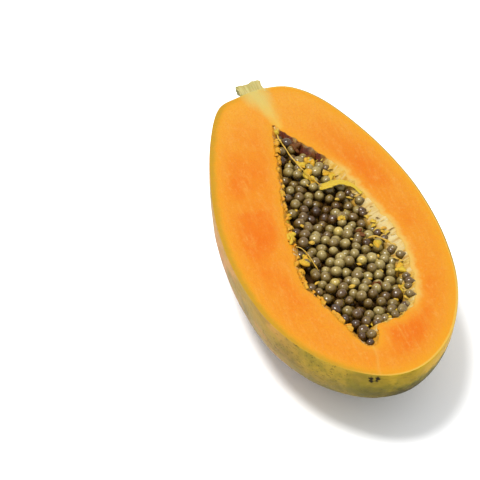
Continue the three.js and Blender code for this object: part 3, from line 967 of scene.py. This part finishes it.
def ball(sides, ring_count):
    """A ball of radius 1 as a stack of rings."""
    angles = np.linspace(0, math.pi, ring_count + 2)[1:-1]
    turn = -np.arange(sides) / sides * 2 * math.pi
    rings = [
        np.column_stack([np.cos(turn) * math.sin(a), np.sin(turn) * math.sin(a), turn * 0 - math.cos(a)])
        for a in angles
    ]
    return np.vstack([[(0, 0, -1)], *rings, [(0, 0, 1)]]), ring_faces(ring_count, sides)


def turned(points, tilt, spin):
    """The points tipped about X and then spun about Z."""
    about_x = Matrix.Rotation(tilt, 3, "X")
    about_z = Matrix.Rotation(spin, 3, "Z")
    return points @ np.array(about_z @ about_x).T


def seed_parts(centres, radii, sides, ring_count, tints):
    """A lumpy, drawn-out ball for each seed."""
    unit, faces = ball(sides, ring_count)
    stretch = [1 / SEED_LENGTH_RATIO, 1 / SEED_LENGTH_RATIO, SEED_LENGTH_RATIO]
    parts = []
    for i, (centre, radius, tint) in enumerate(zip(centres, radii, tints)):
        lumps = 1 + 0.06 * lattice_noise(unit * 1.5 + i * 7.3, 1.0, 31)
        shape = turned(unit * lumps[:, None] * stretch * radius, 0.5 * i, 1.3 * i)
        # How high a point sits on its seed; the finish paints shade on the lower side from it.
        up = shape[:, 2] / radius
        shape = shape + centre
        shape[:, 2] = np.minimum(shape[:, 2], TOP_LEVEL)
        parts.append((shape, faces, {"tint": tint, "up": up}))
    return parts


# %% [markdown]
# Most seeds are olive-grey. They are darker along the left edge and at both ends. In a few hollows and
# under the flap they are darkened as painted shade, and three unripe ones are pale. A different material
# for each would do, but one number for each seed is enough: its tint, from 0 for black-brown to 1 for pale
# yellow.

# %% Top seeds
USUAL_TINT = 0.61
TINT_SPREAD = 0.13
PAINTED_SHADE_SPOTS = [
    (1.8, 10.0, 6.0), (6.4, 13.5, 4.0), (13.0, 15.5, 3.0), (20.5, 1.0, 4.0), (-11.5, 1.2, 4.0),
    (15, -12, 3.5),
]
PALE_SEEDS = [(9.2, -25.9), (-6.7, -31.9), (8.1, -4.2)]
LEFT_EDGE = ([-70, -30, 30, 62], [-4, -16, -7, 0])

seed_x, seed_y = seed_centres[:, 0], seed_centres[:, 1]
tints = np.clip(seed_chance.normal(USUAL_TINT, TINT_SPREAD, len(seed_centres)), 0.25, 0.8)
from_left_edge = np.clip(seed_x - np.interp(seed_y, *LEFT_EDGE) - 1, 0, None)
tints -= 0.34 * np.exp(-from_left_edge / 5)
tints -= 0.28 * ramp(seed_y, 36, 54)
tints -= 0.15 * ramp(seed_y, -34, -48)
# Painted shade in a few hollows among the seeds and under the flap.
for spot in PAINTED_SHADE_SPOTS:
    tints -= 0.4 * nearness(seed_centres, *spot)
tints = np.maximum(tints, 0.1)
for spot in PALE_SEEDS:
    tints[np.argmin(np.linalg.norm(seed_centres[:, :2] - spot, axis=1))] = 0.97
top_seeds = seed_parts(seed_centres, seed_radii, 20, 12, tints)
print("tints from", tints.min().round(2), "to", tints.max().round(2))

# %% [markdown]
# Through the gaps between the top seeds one sees more seeds. The whole cavity could be filled, but only
# the next layer can be seen: the same seeds moved aside and down, with fewer faces and a darker tint as
# painted shade. Below it an uneven bed closes the view, in the darkest tint, which is painted shade too.

# %% Lower seeds and bed
LOWER_SHIFT = [1.9, 1.4, 0]
LOWER_DROP = 3.0
# The lower layer's darker tint is painted shade.
LOWER_SHADE_TINT = 0.25
BED_SIDES = 160
BED_RINGS = 12
BED_DROP = 3.2
BED_DEPTH = 21.3
BED_RIM_LEVEL = -4.6

lower_centres = seed_centres + LOWER_SHIFT
lower_centres[:, 2] = bed_height(lower_centres[:, 0], lower_centres[:, 1]) - LOWER_DROP
keep = [inside_ring(inset(limit_ring, 0.8), x, y) for x, y, _ in lower_centres]
lower_seeds = seed_parts(lower_centres[keep], seed_radii[keep], 12, 7, np.full(sum(keep), LOWER_SHADE_TINT))
print(len(lower_seeds), "seeds below them")

bed_rim = outline_ring(SEED_BED_OUTLINE, BED_SIDES)
bed_rings = [bowl_ring(bed_rim, CAVITY_POLE, BED_DEPTH, step / 4, top=BED_RIM_LEVEL) for step in (3, 2, 1, 0)]
for step in range(1, BED_RINGS):
    flat = CAVITY_POLE + (bed_rim - CAVITY_POLE) * (1 - step / BED_RINGS)
    bed_rings.append(np.column_stack([flat, bed_height(flat[:, 0], flat[:, 1]) - BED_DROP]))
bed_bottom = np.append(CAVITY_POLE, -BED_DEPTH)
bed_middle = np.append(CAVITY_POLE, bed_height(*CAVITY_POLE) - BED_DROP)
bed_points = np.vstack([bed_bottom, *bed_rings, bed_middle])
bed_points[:, 2] += 0.5 * lattice_noise(bed_points, 2.0, 32) * (bed_points[:, 2] > -9)
# The bed's tint of 0, the darkest seed colour, is painted shade.
bed_part = (bed_points, ring_faces(len(bed_rings), BED_SIDES), {"tint": 0.0, "up": 0.0})

# %% [markdown]
# Some seeds stay on the membrane's slope when the rest fall away, drawn out to a point where they hang on
# it. They could be left round, but the point shows how a seed grows out of the wall, so the side of the
# ball that faces the wall is pulled out and thinned.

# %% Seeds on the slope
WALL_SEED_COUNT = 26


def slope_place(side, share):
    """A point on the membrane's slope and the direction from there to the seeds."""
    ring = slope[int(round(share * SLOPE_RINGS))]
    inward = slope[-1][side] - slope[0][side]
    return ring[side], inward / np.linalg.norm(inward)


def wall_seed(side, share, radius, tint):
    """A seed on the membrane's slope, drawn out to a point towards the wall."""
    unit, faces = ball(20, 12)
    start, inward = slope_place(side, share)
    point = np.clip(unit[:, :1], 0, 1) ** 1.4
    shape = unit * [1.0, 0.9, 0.9] * (1 + [0.7, -0.8, -0.8] * point) * radius
    shape = turned(shape, 0, math.atan2(-inward[1], -inward[0]))
    return shape + start + [0, 0, 0.25 * radius], faces, {"tint": tint, "up": shape[:, 2] / radius}


right_sides = np.nonzero((wall_ring[:, 0] > 3) & (wall_ring[:, 1] < 42) & (wall_ring[:, 1] > -62))[0]
wall_seeds = []
for side in seed_chance.choice(right_sides, WALL_SEED_COUNT, replace=False):
    share = np.interp(wall_ring[side, 1], [-35, -8], [0.55, 0.85]) + seed_chance.uniform(-0.2, 0.15)
    radius, tint = seed_chance.uniform(1.6, 2.2), seed_chance.uniform(0.15, 0.55)
    wall_seeds.append(wall_seed(side, share, radius, tint))
print(len(wall_seeds), "seeds on the slope")

# %% [markdown]
# A papaya seed is nearly black and grooved, but the clear skin round it makes it look olive-grey, with a
# small soft highlight. That skin could be a second, see-through ball. A clear coat over the colour looks
# the same at this size. The colour runs from dark brown over olive-grey to pale yellow by each seed's
# tint, mottles and grooves break it up, the lower side of each seed is darker as painted shade, and the
# bed under the seeds stays matt.

# %% Seed finish
SEED_STOPS = [
    (0.0, srgb(60, 36, 12)), (0.2, srgb(106, 70, 18)), (0.42, srgb(150, 120, 50)), (0.62, srgb(188, 162, 86)),
    (0.82, srgb(208, 182, 104)), (1.0, srgb(244, 210, 98)),
]
seed_finish = Finish(
    "papaya_seeds", roughness=0.3, specular_ior_level=0.12, subsurface_weight=0.1,
    subsurface_radius=(0.0012, 0.0009, 0.0005), subsurface_scale=1.0, coat_roughness=0.2,
)
place = seed_finish.mm
mottle = place.noise(0.55, 4.0, 0.65)
groove = place.noise(1.3, 3.0, 0.6, 1.2).step(0.4, 0.62)
tint = seed_finish.attribute("tint")
wet = tint.step(0.01, 0.08)
seed_colour = seed_finish.any.node("ValToRGB", {"stops": SEED_STOPS}, {"Fac": tint + (mottle - 0.5) * 0.8})
seed_finish.connect("Base Color", painted(seed_colour, [
    (groove * 0.3, srgb(66, 50, 26)),
    # Painted shade: the lower side of each seed is darker.
    (seed_finish.attribute("up").step(0.95, -0.3) * 0.8, srgb(74, 48, 12)),
]))
seed_finish.connect("Coat Weight", wet * 0.95)
seed_finish.connect("Roughness", groove * 0.18 + 0.26 + (1 - wet) * 0.5)
seed_finish.bump(groove * 0.7 + mottle, 0.25, 0.5)

# %% [markdown]
# The top seeds take the place of the model's seeds. The others have no solid of their own to stand for,
# because the model has one dark heap there, so they only ride along.

# %% Seed pieces
for name, parts, node in (
    ("seed_heap", top_seeds, "seeds"),
    ("seed_underlayer", [*wall_seeds, *lower_seeds, bed_part], None),
):
    points, faces, values = joined(parts)
    make_piece(name, points, faces, [seed_finish.material], attributes=values, replaces=node)

# %% [markdown]
# The membrane does not end cleanly. Long threads cross the seeds, and one wide flap is folded over at the
# upper right. They could be curves with a round bevel, but torn membrane is flat and uneven. All of them
# are an oval section swept along a bent line, with a width and a thickness that change on the way.

# %% Threads and flap
PLAIN = {"sunk": 0.0, "stain": 0.0, "fleshy": 0.0, "white": 0.0, "fibre": 0.0}
THREAD_POINTS = 60
FLAP_LINE = [(22.9, 13.6, -0.9), (19.8, 17.9, 0.7), (15.2, 20.6, 1.1), (10.8, 20.5, 0.9), (6.6, 18.4, 0.2)]
FLAP_WIDTHS = ([0, 0.12, 0.4, 0.62, 0.82, 0.95, 1], [2.6, 1.8, 2.6, 5.4, 7.0, 4.2, 0.8])
FLAP_THICKNESS = 0.4


def swept(line, widths, thicknesses, sides, values, twist=0.0):
    """A closed form with an oval section along a line, lying flat unless it is twisted."""
    line = np.asarray(line)
    along = np.gradient(line, axis=0)
    along /= np.linalg.norm(along, axis=1)[:, None]
    across = np.cross(along, [0, 0, 1])
    across /= np.linalg.norm(across, axis=1)[:, None] + 1e-9
    upright = np.cross(across, along)
    roll = (np.linspace(0, 1, len(line)) * twist)[:, None]
    side_ways = across * np.cos(roll) + upright * np.sin(roll)
    up_ways = upright * np.cos(roll) - across * np.sin(roll)
    turn = np.arange(sides) / sides * 2 * math.pi
    rings = [
        centre + np.outer(np.cos(turn) * wide / 2, side) + np.outer(np.sin(turn) * thick / 2, up)
        for centre, side, up, wide, thick in zip(line, side_ways, up_ways, widths, thicknesses)
    ]
    return np.vstack([line[:1], *rings, line[-1:]]), ring_faces(len(rings), sides), values


def bent(points, size, seed):
    """A noise for each axis, to bend or roughen the points with."""
    return np.column_stack([lattice_noise(points, size, seed + axis) for axis in range(3)])


soft_parts = []
share = np.linspace(0, 1, THREAD_POINTS)
for number, (radius, route) in enumerate(STRANDS[:1] + STRANDS[2:]):
    line = open_line(route, THREAD_POINTS)
    line += 0.2 * bent(line, 2.5, 41 + 3 * number)
    uneven = 1 + 0.45 * lattice_noise(line * [1, 1, 0], 3.0, 44 + number)
    wide = 1.5 * radius * uneven * np.clip(np.minimum(share, 1 - share) * 9, 0.25, 1)
    soft_parts.append(swept(line, wide, wide * 0.55, 14, {**PLAIN, "tone": 0.62}, twist=1.5))

line = open_line(FLAP_LINE, THREAD_POINTS)
wide = np.interp(share, *FLAP_WIDTHS) + 0.5 * lattice_noise(line * [1, 1, 0], 2.1, 47)
thick = np.full(THREAD_POINTS, FLAP_THICKNESS)
flap_points, flap_faces, flap_values = swept(line, wide, thick, 40, {**PLAIN, "tone": 1.0}, twist=-0.5)
flap_points[:, 2] += 0.5 * lattice_noise(flap_points * [0.35, 1, 0], 1.3, 48)
soft_parts.append((flap_points, flap_faces, flap_values))
print(len(soft_parts), "threads and flap")

# %% [markdown]
# Round the seeds the membrane is torn to shreds: blunt orange rags on the left, flat yellow tongues on
# the right-hand slope, and thin pointed wisps that stand off it. Hair particles could make them, but they
# would not be a mesh. So each is a short swept strip with its own length, bend and twist, in three kinds.

# %% Tongues and wisps
TONGUE_COUNT = 180
TONGUE_POINTS = 14
START_SHARES = [(0, 0.15), (0.35, 0.8), (0.35, 1)]
RAG, FLAT_TONGUE, WISP = range(3)


def tongue(start, direction, length, rise, drop, wide, thick, sharp, values):
    """A soft strip that leaves the slope, bends and ends over the seeds, pointed if sharp."""
    sway = np.array([-direction[1], direction[0], 0]) * soft_chance.normal(0, 0.12 * length)
    middle = start + direction * length * 0.5 + [0, 0, rise] + sway
    line = open_line([start - [0, 0, 0.4], middle, start + direction * length + [0, 0, drop]], TONGUE_POINTS)
    share = np.linspace(0, 1, TONGUE_POINTS)
    taper = 1.02 - share if sharp else np.sin(math.pi * (0.3 + 0.66 * share))
    twist = soft_chance.normal(0, 0.3)
    return swept(line, wide * taper, thick * taper, 12, {**PLAIN, **values}, twist)


soft_chance = np.random.default_rng(8)
left_sides = np.nonzero(on_left & (wall_ring[:, 1] > -62) & (wall_ring[:, 1] < 56))[0]
for number in range(TONGUE_COUNT):
    kind = number % 3
    side = soft_chance.choice(left_sides if kind == RAG else right_sides)
    start, inward = slope_place(side, soft_chance.uniform(*START_SHARES[kind]))
    swing = soft_chance.normal(0, 0.4)
    if kind == WISP:
        start, inward, swing = start + [0, 0, 0.5], -inward, soft_chance.normal(0, 0.35)
    direction = turned(inward[None], 0, swing)[0] * [1, 1, 0]
    draw = soft_chance.uniform
    if kind == RAG:
        shape = (draw(1.6, 3.4), 0.7, draw(-0.8, 0.4), draw(1.4, 3.2), 0.6, False)
        values = {"tone": 0.8, "fleshy": draw(0.3, 1)}
    elif kind == FLAT_TONGUE:
        shape = (draw(2.0, 4.2), 0.3, draw(-0.9, 0.3), draw(1.1, 2.3), 0.4, False)
        values = {"tone": draw(0.5, 0.9), "fleshy": draw(0, 0.15)}
    else:
        shape = (draw(1.4, 3.2), 0.3, draw(0, 0.6), draw(0.35, 0.9), 0.3, True)
        values = {"tone": soft_chance.choice([0.15, 0.5, 0.6, 0.8])}
    soft_parts.append(tongue(start, direction, *shape, values))
print(len(soft_parts), "threads and tongues")

# %% [markdown]
# Here and there soft clumps of pulp stick to the membrane and between the seeds, mostly bright yellow, a
# few reddish brown. Metaballs would melt together like this, but their mesh is hard to foresee. Each
# clump is four lumpy balls pressed into each other, with noise on two scales, and small crumbs lie
# between the seeds.

# %% Pulp clumps
YELLOW_CLUMPS = [
    (3.8, 36.4), (4.6, 32.6), (5.8, 28.2), (8.3, 39.4), (15.4, 29.5), (-12.2, -17.8), (-14.4, -20.9),
    (19.2, -15.2), (22.6, -32), (10, 0.8), (-10.2, 20.2), (-11.2, 8.5), (-14.0, -6.1), (-12.6, 2.6),
    (20.5, -42), (0.9, 60.8),
]
RED_CLUMPS = [(14.5, -6.5), (12, -38.1), (10.3, 42.6), (5.9, 48.6)]
LUMPS_IN_CLUMP = 4
CRUMB_COUNT = 44
lump_unit, lump_faces = ball(18, 11)


def pulp(centre, size, values):
    """One soft lump: a ball bent by strong noise, flattened and drawn out to one side."""
    pick = soft_chance.uniform(0, 90)
    bumps = 1 + 0.34 * lattice_noise(lump_unit * 1.1 + pick, 1.0, 51)
    bumps += 0.06 * lattice_noise(lump_unit * 3.5 + pick, 1.0, 52)
    shape = lump_unit * bumps[:, None] * [soft_chance.uniform(0.55, 0.9), 1.3, 0.55]
    return turned(shape, soft_chance.normal(0, 0.4), pick) * size + centre, lump_faces, {**PLAIN, **values}


for places, values in ((YELLOW_CLUMPS, {"tone": 0.95}), (RED_CLUMPS, {"tone": 0.4, "stain": 0.9})):
    for x, y in places:
        near = np.argmin(np.linalg.norm(seed_centres[:, :2] - (x, y), axis=1))
        level = min(seed_centres[near, 2] + seed_radii[near] * 0.7, 0.9)
        for lump in range(LUMPS_IN_CLUMP):
            offset = soft_chance.normal(0, 1.0, 3) * [0.8, 1.1, 0.25] * (lump > 0)
            fleshy = soft_chance.choice([0.0, 0.1, 0.4])
            size = soft_chance.uniform(0.9, 1.7)
            soft_parts.append(pulp(np.array([x, y, level]) + offset, size, {"fleshy": fleshy, **values}))
for centre in seed_centres[soft_chance.choice(len(seed_centres), CRUMB_COUNT, replace=False)]:
    aside = soft_chance.choice([-1, 1], 2) * soft_chance.uniform(1.5, 2.1, 2)
    size = soft_chance.uniform(0.5, 1.2)
    fleshy = soft_chance.uniform(0, 0.15)
    soft_parts.append(pulp(centre + [*aside, 0.2], size, {"tone": 0.75, "fleshy": fleshy}))
points, faces, values = joined(soft_parts)
points[:, 2] = np.minimum(points[:, 2], TOP_LEVEL)
make_piece("membrane_threads", points, faces, [membrane.material], attributes=values)

# %% [markdown]
# The stub of the stalk was halved with the fruit. It is pale and fibrous, flared where it leaves the
# fruit and again at its end. A turned profile cut in half would be too smooth. Its rings are ribbed half
# circles closed by the flat cut, which is scored by fibres.

# %% Stub rings
STUB_START = -2.0
STUB_END = 9.0
STUB_RINGS = 56
STUB_HEIGHTS = [-2.0, 0, 3, 5.5, 7.8, 8.6, 9.0]
STUB_RADII = [6.8, 6.4, 5.5, 5.5, 6.2, 5.8, 5.2]
ARC_POINTS = 60
CUT_POINTS = 40
STUB_CUT_LEVEL = -0.12

angle = np.linspace(0, -math.pi, ARC_POINTS)
ribs = 1 + 0.03 * np.sin(7 * angle + 0.4) + 0.015 * np.sin(17 * angle)
stub_rings = []
for height in np.linspace(STUB_START, STUB_END, STUB_RINGS):
    radius = np.interp(height, STUB_HEIGHTS, STUB_RADII)
    bark = [-radius * ribs * np.cos(angle), np.full(ARC_POINTS, height), radius * ribs * np.sin(angle)]
    across = np.linspace(radius, -radius, CUT_POINTS + 2)[1:-1] * ribs[0]
    fibre_places = np.column_stack([across / 0.5, np.full(CUT_POINTS, height / 6), across * 0])
    scored = lattice_noise(fibre_places, 1.0, 61)
    level = STUB_CUT_LEVEL - 0.9 * np.clip((1.2 - height) / 2, 0, 1) + 0.07 * scored
    cut = [across, np.full(CUT_POINTS, height), level]
    stub_rings.append(np.vstack([np.column_stack(bark), np.column_stack(cut)]))
print(len(stub_rings), "rings along the stub")

# %% [markdown]
# The end of the stub is broken off: fibres of uneven length stand up, and the left part is torn away
# lower. A flat cap with a bump would look cut, so rings close the end inwards and noise on three scales
# pushes them up and down. The whole stub is then turned a little and set on the fruit's blunt end.

# %% Broken end
STUB_PLACE = [-1.1, 85.6, 0]
STUB_TURN = math.radians(6)
END_MIDDLE = np.array([0, 8.3, -2.6])
END_RINGS = 18
STUB_TOP = -0.02

end_shares = np.linspace(0.94, 0.08, END_RINGS)
end_rings = [END_MIDDLE + (stub_rings[-1] - END_MIDDLE) * share for share in end_shares]
stack = [*stub_rings, *end_rings]
stub_points = np.vstack([[(0, STUB_START, -2.8)], *stack, [END_MIDDLE]])
raised = ramp(stub_points[:, 1], 3, 8)
broken = sum(size * lattice_noise(stub_points * [1, 0, 1], size, 62) for size in (1.2, 0.6, 0.3))
torn_left = 0.7 * (1 - np.tanh((stub_points[:, 0] - 1.4) / 0.9))
stub_points[:, 1] += raised * (0.2 * broken - torn_left)
stub_points += 0.07 * bent(stub_points * [1, 0.4, 1], 1.1, 63)
stub_points[:, 2] = np.minimum(stub_points[:, 2], STUB_TOP)
placed_stub = turned(stub_points, 0, STUB_TURN) + STUB_PLACE
print("stub reaches", placed_stub[:, 1].max().round(2), "mm from the origin")

# %% [markdown]
# The stalk's wood is cream with yellowish fibres along it, and greener on its bark. Wood grain could come
# from a wave texture, which looks too even. A noise stretched along the stub gives finer fibres.

# %% Stub finish
stem = Finish(
    "papaya_stem", roughness=0.6, specular_ior_level=0.35, subsurface_weight=0.08, subsurface_scale=0.002,
)
place = stem.mm
grain = place.stretched(1.6, 0.12, 1.6).noise(1.1, 4.0, 0.6).step(0.35, 0.68)
green = place.noise(0.22, 3.0).step(0.42, 0.6)
stem_colour = painted(grain.mix(srgb(226, 208, 128), srgb(200, 180, 96)), [
    (green * stem.attribute("under") * 0.85, srgb(140, 146, 62)),
])
stem.connect("Base Color", stem_colour)
stem.connect("Roughness", grain * 0.15 + 0.5)
stem.bump(grain, 0.2, 0.6)
bark_share = np.clip(np.maximum(-stub_points[:, 2] / 1.2, (-stub_points[:, 0] - 4.0) / 1.5), 0, 1)
make_piece(
    "stem_stub_fine", placed_stub, ring_faces(len(stack), ARC_POINTS + CUT_POINTS), [stem.material],
    replaces="stem_stub", attributes={"under": bark_share},
)
